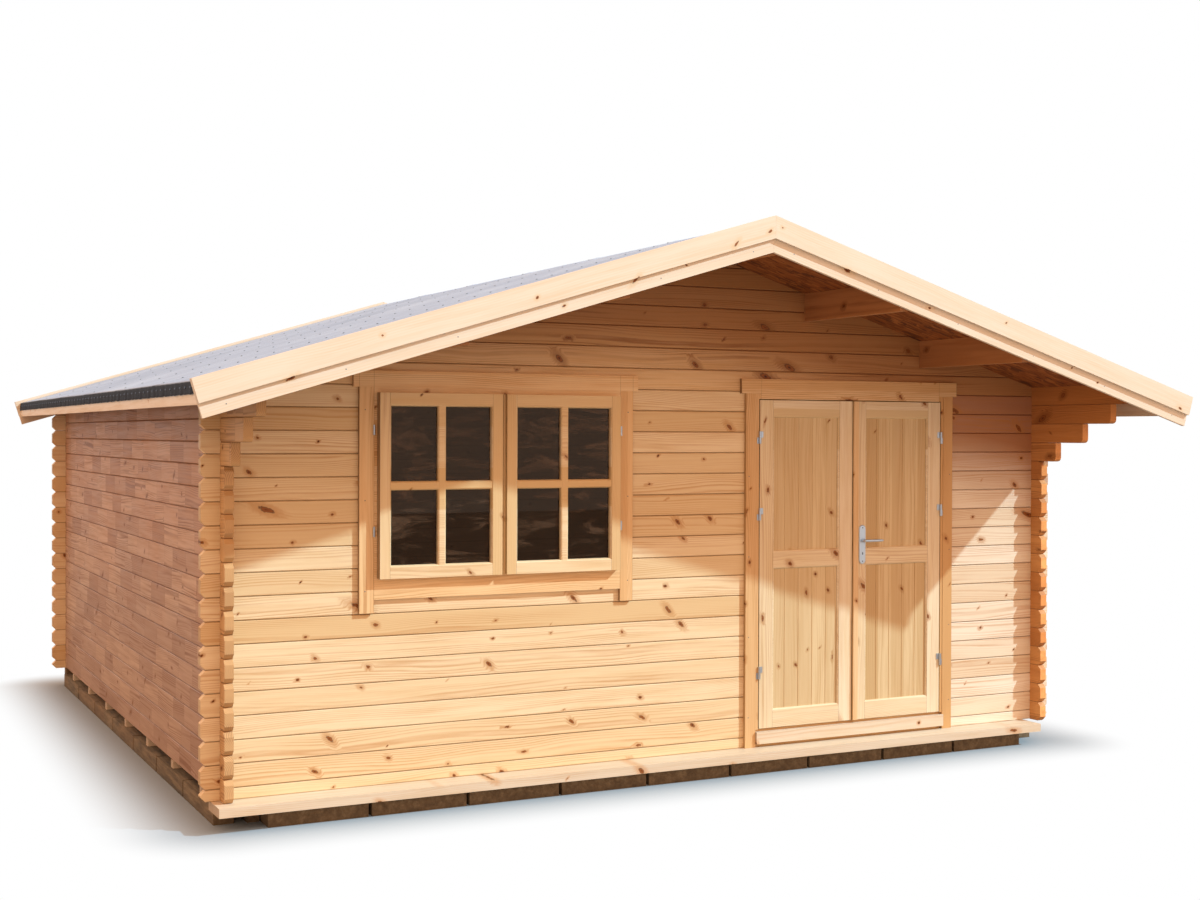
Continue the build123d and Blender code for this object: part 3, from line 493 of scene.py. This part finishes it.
def window_pane():
    """Float glass in front of a dark room: a brown-grey tint, with long smears that catch the sun."""
    material, shader, n = new_material("clear_float_glass")
    place = n("TexCoord", out="Object")
    film = n("TexNoise", Vector=place, Scale=2.3, Detail=3.0)
    lengthways = n("Mapping", place, Rotation=(0, 0.15, 0), Scale=(3.0, 3.0, 12.0))
    smear = n("TexNoise", Vector=lengthways, Scale=1.0, Detail=5.0, Roughness=0.7, Distortion=1.2)
    join(shader, {"Roughness": n("MapRange", film, 0.4, 0.8, 0.0, 0.03),
                  "Transmission Weight": n("MapRange", smear, 0.5, 0.75, 0.97, 0.5)})
    shader.inputs["Base Color"].default_value = linear("#76604F")
    shader.inputs["Specular Tint"].default_value = linear("#E2BFA4")
    shader.inputs["IOR"].default_value = 1.5
    return material


strand = strand_board()
felt = mineral_felt()
weathered = weathered_timber()
zinc = brushed_metal("zinc_plated_steel", "#C9CBD0", 0.35)
satin = brushed_metal("satin_aluminium", "#DDE0E6", 0.38)
glass = window_pane()
dark_nail = brushed_metal("galvanised_clout_nail", "#6D7078", 0.5)

FINISH_OF_NODE = {
    "front_gable": gable_log, "front_wall_right": eaves_log, "back_wall": back_log, "back_gable": back_log,
    "left_wall": side_log, "right_wall": right_log,
    "left_wall_plate": side_log, "right_wall_plate": right_log,
    "foundation_front": rail, "foundation_front_blocks": weathered, "foundation_back": weathered,
    "foundation_left": weathered, "foundation_right": weathered, "foundation_shims": rail,
    "floor_joists": weathered, "floor": floor_board, "purlins": beam,
    "roof_deck_left": strand, "roof_deck_right": strand, "eave_fascias": fascia,
    "front_bargeboards": roof_board, "front_bargeboard_trims": roof_board, "back_bargeboards": roof_board,
    "back_bargeboard_trims": roof_board, "window_glass": glass, "door_threshold": rail,
    "door_cover_strip": stile, "left_door_panels": door_board, "right_door_panels": door_board,
    "window_hinges": zinc, "door_frame_hinges": zinc, "left_door_hinges": zinc, "right_door_hinges": zinc,
    "door_handle_plates": satin, "door_lever": satin, "roof_felt_left": felt, "roof_felt_right": felt,
    "window_frame": window_timber, "window_trim": window_timber, "window_sash_left": sash_timber,
    "window_sash_right": sash_timber, "door_frame": door_frame_timber, "door_trim": door_frame_timber,
    "left_door_frame": leaf_timber, "right_door_frame": leaf_timber,
}
for node, cad_object in nodes.items():
    cad_object.data.materials.clear()
    cad_object.data.materials.append(FINISH_OF_NODE.get(node, front_log))


# Pieces

def piece(name, verts, faces, material, like, replace=(), smooth=False):
    """A mesh from arrays that rides with a CAD node's body, and hides the CAD nodes that it replaces."""
    mesh = bpy.data.meshes.new(name)
    mesh.from_pydata(np.asarray(verts, float).tolist(), [], [list(map(int, f)) for f in faces])
    mesh.validate()
    if smooth:
        mesh.shade_smooth()
    mesh.materials.append(material)
    obj = bpy.data.objects.new(name, mesh)
    bpy.context.scene.collection.objects.link(obj)
    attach(obj, body_of_node[like])
    if replace:
        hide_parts(*replace)
    return obj


def together(shapes):
    """Several shapes as the arrays of one mesh."""
    verts, faces, count = [], [], 0
    for shape_verts, shape_faces in shapes:
        verts.append(shape_verts)
        faces += [[i + count for i in face] for face in shape_faces]
        count += len(shape_verts)
    return np.concatenate(verts), faces


def loft(rings, ends=True):
    """A skin over rings of equal length: each ring joins the next by quads.

    With ends the first and last rings are filled; without, the last ring joins the first.
    """
    rings = np.asarray(rings, float)
    count, size = rings.shape[:2]
    i = np.arange(count - (1 if ends else 0))[:, None]
    j = np.arange(size)[None, :]
    k = (j + 1) % size
    after = (i + 1) % count
    quads = np.stack([i * size + j, i * size + k, after * size + k, after * size + j], -1)
    faces = quads.reshape(-1, 4).tolist()
    if ends:
        faces += [list(range(size))[::-1], list(range((count - 1) * size, count * size))]
    return rings.reshape(-1, 3), faces


def outwards(obj):
    """Turn the faces of closed shapes to point out."""
    work = bmesh.new()
    work.from_mesh(obj.data)
    bmesh.ops.recalc_face_normals(work, faces=work.faces)
    work.to_mesh(obj.data)
    work.free()
    return obj


def straight(outline, axis, low, high):
    """A straight moulding: a flat outline drawn along one axis from low to high."""
    return loft([np.insert(np.asarray(outline, float), axis, at, axis=1) for at in (low, high)])


def mitred(field, profile):
    """A moulding mitred round an upright rectangle.

    Each profile point is the rectangle inset by its first number, at the y of its second, and neighbouring
    rectangles are joined.
    """
    left, right, low, high = field
    inset, y = np.asarray(profile, float).T[:, :, None]
    x = np.array([left, right, right, left]) + inset * (1, -1, -1, 1)
    z = np.array([low, low, high, high]) + inset * (1, 1, -1, -1)
    return loft(np.stack([x, np.broadcast_to(y, x.shape), z], -1), ends=False)


def ovolo(half, flat, near, far, steps=7):
    """Outline of a bar: up from the glass by a third, then a quarter ellipse to the flat front, mirrored."""
    turn = np.linspace(0, math.pi / 2, steps)
    shoulder = near + 0.3 * (far - near)
    side = np.stack([flat + (half - flat) * np.cos(turn), shoulder + (far - shoulder) * np.sin(turn)], -1)
    side = np.concatenate([[(half, near)], side])
    return np.concatenate([side, side[::-1] * (-1, 1)])


def bead_profile(base, top, wide, shoulder):
    """Profile of a bead: flat on its base, upright for a third, then rounded by its shoulder to the top."""
    steps = ((0, 0), (wide, 0), (wide, 0.3), (7 * MM, shoulder), (4 * MM, 0.9), (0, 1))
    return [(inset, base + share * (top - base)) for inset, share in steps]


def studs(centres, normal, size, high):
    """Domed heads: three rings of eight points shrink as a quarter ellipse rises along the normal."""
    up = Vector(normal).normalized()
    side = up.orthogonal().normalized()
    basis = np.array([side, up.cross(side), up])
    angle = np.linspace(0, 2 * math.pi, 8, endpoint=False)
    rise = np.radians([0, 40, 75])[:, None]
    ring = np.stack([np.cos(rise) * np.cos(angle), np.cos(rise) * np.sin(angle),
                     np.sin(rise) + 0 * angle], -1)
    head = (ring * (size, size, high)) @ basis
    return together([loft(head + centre) for centre in np.asarray(centres, float)])


def tube(path, wide, deep, sides=16):
    """A round bar along a level path: ellipses, wide across the path and deep up, square to its direction."""
    path = np.asarray(path, float)
    along = np.gradient(path, axis=0)
    along /= np.linalg.norm(along, axis=1)[:, None]
    aside = np.cross(along, (0, 0, 1.0))
    angle = np.linspace(0, 2 * math.pi, sides, endpoint=False)[None, :, None]
    wide = np.broadcast_to(wide, len(path))[:, None, None]
    deep = np.broadcast_to(deep, len(path))[:, None, None]
    upright = np.array((0, 0, 1.0))
    return loft(path[:, None] + wide * aside[:, None] * np.cos(angle) + deep * upright * np.sin(angle))


# Glazing bars in front of and behind each pane, and a bead round it
GLASS_FRONT, GLASS_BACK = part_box("window_glass")[0].y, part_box("window_glass")[1].y
sash_low, sash_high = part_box("window_sash_left")
SASH_FRONT, SASH_BACK = sash_low.y, sash_high.y
BAR_HALF, BAR_FLAT = 23 * MM, 12 * MM
BAR_SET_BACK = 2 * MM
STAND_PROUD = 1 * MM
pane_z = (sash_low.z + SASH_RAILS[0], sash_high.z - SASH_RAILS[1])
bars, beads = [], []
for node, stiles in (("window_sash_left", (SASH_STILE, SASH_STILE + MEETING_STEP)),
                     ("window_sash_right", (SASH_STILE + MEETING_STEP, SASH_STILE))):
    low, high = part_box(node)
    pane_x = (low.x + stiles[0], high.x - stiles[1])
    middle_x, middle_z = sum(pane_x) / 2, sum(pane_z) / 2
    for near, far, step in ((GLASS_FRONT, SASH_FRONT + BAR_SET_BACK, STAND_PROUD),
                            (GLASS_BACK, SASH_BACK - BAR_SET_BACK, -STAND_PROUD)):
        upright = ovolo(BAR_HALF, BAR_FLAT, near, far) + (middle_x, 0)
        level = ovolo(BAR_HALF, BAR_FLAT, near, far + step)[:, ::-1] + (0, middle_z)
        bars += [straight(upright, 2, *pane_z), straight(level, 0, *pane_x)]
    bead = bead_profile(GLASS_FRONT, SASH_FRONT + STAND_PROUD, wide=9 * MM, shoulder=0.65)
    beads.append(mitred((*pane_x, *pane_z), bead))
outwards(piece("glazing_bars", *together(bars), sash_timber, "window_sash_left"))
outwards(piece("glazing_beads", *together(beads), sash_timber, "window_sash_left"))

# Grooved boards in the door leaves, and a bead round each panel
BOARDS_IN_PANEL = 5
PANEL_BITE = 8 * MM
MID_RAIL = (1137 * MM, 1220 * MM)
GROOVE_HALF, GROOVE_DEEP = 2.5 * MM, 3 * MM
for side in ("left", "right"):
    low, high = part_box(side + "_door_panels")
    leaf_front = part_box(side + "_door_frame")[0].y
    edges = np.linspace(low.x, high.x, BOARDS_IN_PANEL + 1)[1:-1]
    groove = np.array([(-GROOVE_HALF, 0), (0, GROOVE_DEEP), (GROOVE_HALF, 0)])
    grooves = (edges[:, None, None] * (1, 0) + groove).reshape(-1, 2)
    front_side = np.concatenate([[(low.x, 0)], grooves, [(high.x, 0)]]) + (0, low.y)
    back_side = np.concatenate([[(low.x, 0)], grooves * (1, -1), [(high.x, 0)]])[::-1] + (0, high.y)
    outline = np.concatenate([front_side, back_side])
    spans = ((low.z, MID_RAIL[0] + PANEL_BITE), (MID_RAIL[1] - PANEL_BITE, high.z))
    boards = [straight(outline, 2, *span) for span in spans]
    outwards(piece(side + "_door_boards", *together(boards), door_board, side + "_door_panels",
                   replace=(side + "_door_panels",)))
    bead = bead_profile(low.y, leaf_front + STAND_PROUD, wide=10 * MM, shoulder=0.7)
    fields = [(low.x + PANEL_BITE, high.x - PANEL_BITE, a + PANEL_BITE, b - PANEL_BITE) for a, b in spans]
    outwards(piece(side + "_door_beads", *together([mitred(field, bead) for field in fields]), leaf_timber,
                   side + "_door_frame"))

# Roofing felt
EAVE_TURN = 54 * MM
EAVE_SWING = 2.5 * MM
FELT_THICK = 3 * MM
LAP_WIDE = 80 * MM
RIDGE_GAP = 0.3 * MM
EDGE_PLAY = 2 * MM
SLOPE_STEPS, TURN_STEPS, FELT_ROWS = 60, 7, 420
# Rate, phase and share of the sines that pleat the felt's edge
PLEATS = ((63, 0, 0.5), (41, 1.3, 0.3), (97, 0.4, 0.3))
CLOUT_HEAD = 6 * MM
NAILS_DOWN_SLOPE = 32
NAIL_FROM_LAP = 25 * MM
EDGE_NAIL_SPACE = 0.1
EDGE_NAIL_DOWN = 24 * MM


def felt_slope(side):
    """One slope: the corners of its box, its side of the ridge, its reach and the height of its eave."""
    low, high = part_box("roof_felt_" + side)
    sign = 1 if side == "right" else -1
    reach = max(abs(low.x), abs(high.x))
    return low, high, sign, reach, high.z - ROOF_SLOPE * (reach - RIDGE_GAP)


def felt_sheet(side):
    """Felt on one slope: a grid from the ridge to the eave and down over it, laid in strips.

    Height is the roof plane, plus two slow sine waves, plus a step that rises through each lap and drops at
    the strip's edge. Over the eave the sheet swings out by pleats, sines of three unlike lengths.
    """
    low, high, sign, reach, edge_z = felt_slope(side)
    y = np.linspace(low.y, high.y, FELT_ROWS)[None, :]
    down = np.concatenate([np.linspace(0, 1, SLOPE_STEPS), np.ones(TURN_STEPS)])[:, None]
    turned = np.concatenate([np.zeros(SLOPE_STEPS), np.linspace(0, 1, TURN_STEPS + 1)[1:]])[:, None]
    strip = (y - low.y) / STRIP_WIDE
    lap_share = LAP_WIDE / STRIP_WIDE
    lap = np.clip((strip % 1 - 1 + lap_share) / lap_share, 0, 1)
    lap = FELT_THICK * np.where(strip > FELT_STRIPS - 1, 0, lap)
    wave = 1.2 * MM * np.sin(3.1 * y + 5 * down) * np.sin(2.2 * down * 3 + 1.7 * y)
    pleat = sum(np.sin(y * rate + phase) * share for rate, phase, share in PLEATS)
    near_eave = np.clip((down - 0.93) / 0.07, 0, 1) ** 2
    swing = np.sin(turned * math.pi / 2) * (EAVE_SWING + 2 * EDGE_PLAY * pleat)
    x = RIDGE_GAP + (reach - RIDGE_GAP) * down + swing
    z = high.z - ROOF_SLOPE * (x - RIDGE_GAP) + wave * (1 - turned) + lap + EDGE_PLAY * near_eave * pleat
    z = np.where(turned > 0, edge_z + lap - turned * (EAVE_TURN + EDGE_PLAY * pleat), z)
    x, y, z = np.broadcast_arrays(sign * x, y, z)
    grid = np.stack([x, y, z], -1)
    steps, rows = grid.shape[:2]
    corner = np.arange(steps - 1)[:, None] * rows + np.arange(rows - 1)[None, :]
    quads = np.stack([corner, corner + rows, corner + rows + 1, corner + 1], -1).reshape(-1, 4)
    if sign < 0:
        quads = quads[:, ::-1]
    obj = piece("felt_strips_" + side, grid.reshape(-1, 3), quads.tolist(), felt, "roof_felt_" + side,
                replace=("roof_felt_" + side,), smooth=True)
    shell = obj.modifiers.new("thickness", "SOLIDIFY")
    shell.thickness = FELT_THICK
    shell.offset = -1.0


def felt_nails(side):
    """Clout nails: a row of domed heads down each lap, and one along the turned-down edge."""
    low, high, sign, reach, edge_z = felt_slope(side)
    from_ridge = np.linspace(0.06, reach - 0.05, NAILS_DOWN_SLOPE)
    laps = low.y + STRIP_WIDE * np.arange(1, FELT_STRIPS) - NAIL_FROM_LAP
    on_slope = [(sign * d, at, high.z - ROOF_SLOPE * d + 2.5 * MM) for d in from_ridge for at in laps]
    along_edge = np.arange(low.y + 0.05, high.y, EDGE_NAIL_SPACE)
    on_edge = [(sign * (reach + 2 * MM), at, edge_z - EDGE_NAIL_DOWN) for at in along_edge]
    heads = together([studs(on_slope, (sign * ROOF_SLOPE, 0, 1), CLOUT_HEAD, 2.5 * MM),
                      studs(on_edge, (sign, 0, 0), CLOUT_HEAD, 5 * MM)])
    outwards(piece("felt_nails_" + side, *heads, dark_nail, "roof_felt_" + side, smooth=True))


for side in ("left", "right"):
    felt_sheet(side)
    felt_nails(side)

# Nails in the bargeboards and the trims
NAIL_HEAD, NAIL_RISE = 3 * MM, 0.8 * MM
NAIL_SPACE = 0.52
NAIL_UNDER_TOP = 0.148
TRIM_NAIL_SPACE = 0.45
WINDOW_ABOVE_DOOR_NAILS = 0.8
board_low, board_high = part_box("front_bargeboards")
run = np.arange(0.12, board_high.x - 0.05, NAIL_SPACE)
board_nails = [(sign * x, board_low.y, board_high.z - ROOF_SLOPE * x - NAIL_UNDER_TOP)
               for sign in (-1, 1) for x in run]
outwards(piece("bargeboard_nails", *studs(board_nails, (0, -1, 0), NAIL_HEAD, NAIL_RISE), dark_nail,
               "front_bargeboards", smooth=True))
nail_z = np.arange(0.3, 2.1, TRIM_NAIL_SPACE)
door_posts = (door_trim_low.x + 0.05, door_trim_high.x - 0.05)
window_posts = (trim_low.x + 0.06, trim_high.x - 0.06)
trim_nails = [(x, door_trim_low.y, z) for x in door_posts for z in nail_z]
trim_nails += [(x, door_trim_low.y, z + WINDOW_ABOVE_DOOR_NAILS) for x in window_posts for z in nail_z[:3]]
outwards(piece("trim_nails", *studs(trim_nails, (0, -1, 0), NAIL_HEAD, NAIL_RISE), dark_nail, "door_trim",
               smooth=True))

# Door furniture: bevelled plates with screws and a keyhole, and levers that bend away from them
plate_low, plate_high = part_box("door_handle_plates")
lever_low, lever_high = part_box("door_lever")
PLATE_THICK = 8 * MM
PLATE_BEVEL = 2.5 * MM
SPINDLE = Vector((plate_low.x + 22 * MM, 0, 1271 * MM))
SCREW_FROM_END = 16 * MM
KEYHOLE_DOWN = (72 * MM, 78 * MM)
LEVER_CURVE = 16 * MM
GRIP_INSET = 8.5 * MM


def plate(face, back):
    """A long plate with half-round ends: the outline stands up from its back, then draws in by a bevel."""
    turn = np.linspace(0, math.pi, 13)
    half = (plate_high.x - plate_low.x) / 2
    middle_x, straight_part = plate_low.x + half, (plate_high.z - plate_low.z) / 2 - half
    middle_z = (plate_low.z + plate_high.z) / 2
    rings = []
    for radius, y in ((half, back), (half, back + 0.7 * (face - back)), (half - PLATE_BEVEL, face)):
        top = np.stack([radius * np.cos(turn), straight_part + radius * np.sin(turn)], -1)
        outline = np.concatenate([top, -top]) + (middle_x, middle_z)
        rings.append(np.insert(outline, 1, y, axis=1))
    return loft(rings)


def lever(plate_y, tip_y, out):
    """A lever: straight out of its plate, round a quarter circle, and along to its rounded tip."""
    bend = np.linspace(0, math.pi / 2, 8)
    grip_y = tip_y - out * GRIP_INSET
    neck = np.array([(SPINDLE.x, plate_y - out * 1 * MM), (SPINDLE.x, plate_y + out * 8 * MM)])
    round_bend = np.stack([SPINDLE.x + LEVER_CURVE * (1 - np.cos(bend)),
                           grip_y - out * LEVER_CURVE * (1 - np.sin(bend))], -1)
    grip_x = np.linspace(SPINDLE.x + LEVER_CURVE + 10 * MM, lever_high.x - 1 * MM, 12)
    grip = np.stack([grip_x, np.full(12, grip_y)], -1)
    path = np.insert(np.concatenate([neck, round_bend, grip]), 2, SPINDLE.z, axis=1)
    size = np.concatenate([[9, 8.4], np.full(8, 8.0), np.linspace(8, 7.6, 10), [6.5, 3.5]]) * MM
    return tube(path, size * 0.85, size)


plates = [plate(plate_low.y, plate_low.y + PLATE_THICK), plate(plate_high.y, plate_high.y - PLATE_THICK)]
outwards(piece("bevelled_plates", *together(plates), satin, "door_handle_plates",
               replace=("door_handle_plates",)))
screws = [(SPINDLE.x, plate_low.y, z) for z in (plate_low.z + SCREW_FROM_END, plate_high.z - SCREW_FROM_END)]
outwards(piece("plate_screws", *studs(screws, (0, -1, 0), 4 * MM, 1.5 * MM), dark_nail, "door_handle_plates"))
keyhole = [(SPINDLE.x, plate_low.y, SPINDLE.z - down) for down in KEYHOLE_DOWN]
outwards(piece("keyhole", *studs(keyhole, (0, -1, 0), 4.5 * MM, 0.4 * MM), dark_nail, "door_handle_plates"))
levers = [lever(plate_low.y, lever_low.y, -1), lever(plate_high.y, lever_high.y, 1)]
outwards(piece("bent_levers", *together(levers), satin, "door_lever", replace=("door_lever",), smooth=True))

# Floor: real shading only close to the cabin, where its shadow gathers, and plain white beyond. Close to the
# cabin the floor's colour is dark, so that a grey ring of painted shade fades out round the walls
FLOOR_HALF = 30.0
FADE_OVER = 0.6
FLOOR_NEAR_PAINTED_SHADE = (0.30, 0.38, 0.46, 1)
FLOOR_BOUNCE = "#8F8A84"
WHITE = (1, 1, 1, 1)
corners = np.array([(-1, -1, 0), (1, -1, 0), (1, 1, 0), (-1, 1, 0)]) * FLOOR_HALF
floor_mesh = bpy.data.meshes.new("studio_floor")
floor_mesh.from_pydata(corners.tolist(), [], [(0, 1, 2, 3)])
studio_floor = bpy.data.objects.new("studio_floor", floor_mesh)
bpy.context.scene.collection.objects.link(studio_floor)

floor_finish, shader, n = new_material("pale_studio_floor")
shader.inputs["Roughness"].default_value = 0.9
walls_middle = (0, (WALL_FRONT + WALL_BACK) / 2, 0)
walls_half = (-WALL_LEFT, (WALL_BACK - WALL_FRONT) / 2, 0)
beyond = n("VectorMath", n("TexCoord", out="Object"), walls_middle, operation="SUBTRACT")
beyond = n("VectorMath", n("VectorMath", beyond, operation="ABSOLUTE"), walls_half, operation="SUBTRACT")
beyond = n("VectorMath", beyond, (0, 0, 0), operation="MAXIMUM")
beyond = n("VectorMath", beyond, operation="LENGTH", out="Value")
seen = n("LightPath", out="Is Camera Ray")
far = n("MapRange", beyond, 0.0, FADE_OVER, 0.0, 1.0, interpolation_type="SMOOTHSTEP")
# The dark colour near the cabin is painted shade: it greys the floor round the walls even in the light
join(shader, {"Base Color": n("MixRGB", seen, linear(FLOOR_BOUNCE), FLOOR_NEAR_PAINTED_SHADE)})
white = n("Emission", WHITE, 1.0)
mixed = n("MixShader", n("Math", far, seen, operation="MULTIPLY"), shader.outputs[0], white)
join(floor_finish.node_tree.nodes["Material Output"], {"Surface": mixed})
floor_mesh.materials.append(floor_finish)

# Light: a key from the front right, low enough to draw the eaves' shadow, and a plain warm fill all round.
# The key is as much too cool as the fill is too warm, so that a lit face shows its colour about as written
KEY_FROM = Vector((1.315, -0.90, 1.222))
FILL = (1.45, 0.83, 0.50, 1)
key = bpy.data.lights.new("key", "SUN")
key.energy = 3.65
key.angle = math.radians(1.2)
key.color = (0.66, 0.92, 1.0)
key_object = bpy.data.objects.new("key", key)
key_object.rotation_euler = KEY_FROM.to_track_quat("Z", "Y").to_euler()
bpy.context.scene.collection.objects.link(key_object)

world = bpy.data.worlds.new("studio")
bpy.context.scene.world = world
world.use_nodes = True
n = partial(add_node, world.node_tree)
rays = n("LightPath").node.outputs
shown = n("Math", n("Math", rays["Is Camera Ray"], rays["Is Glossy Ray"], operation="MAXIMUM"),
          rays["Is Transmission Ray"], operation="MAXIMUM")
backdrop = n("Background", n("MixRGB", shown, FILL, WHITE), 1.0)
join(world.node_tree.nodes["World Output"], {"Surface": backdrop})

# Camera, placed from the cabin's left front corner at the underside of the logs
CAMERA_FROM_CORNER = Vector((-1.8035, -7.5215, 1.7498))
CAMERA_YAW, CAMERA_PITCH, CAMERA_ROLL = (math.radians(a) for a in (26.969, -0.553, 0.195))
FOCAL_PIXELS = 1584.35
PHOTO_WIDE = 1200
corner = Vector((WALL_LEFT, WALL_FRONT, BASE_HIGH))
camera = bpy.data.cameras.new("camera")
camera.sensor_width = 36.0
camera.lens = FOCAL_PIXELS / PHOTO_WIDE * camera.sensor_width
camera_object = bpy.data.objects.new("camera", camera)
turn = (Matrix.Rotation(-CAMERA_YAW, 4, "Z") @ Matrix.Rotation(math.pi / 2 + CAMERA_PITCH, 4, "X")
        @ Matrix.Rotation(CAMERA_ROLL, 4, "Z"))
camera_object.matrix_world = Matrix.Translation(corner + CAMERA_FROM_CORNER) @ turn
bpy.context.scene.collection.objects.link(camera_object)
bpy.context.scene.camera = camera_object
bpy.context.scene.view_settings.view_transform = "Standard"
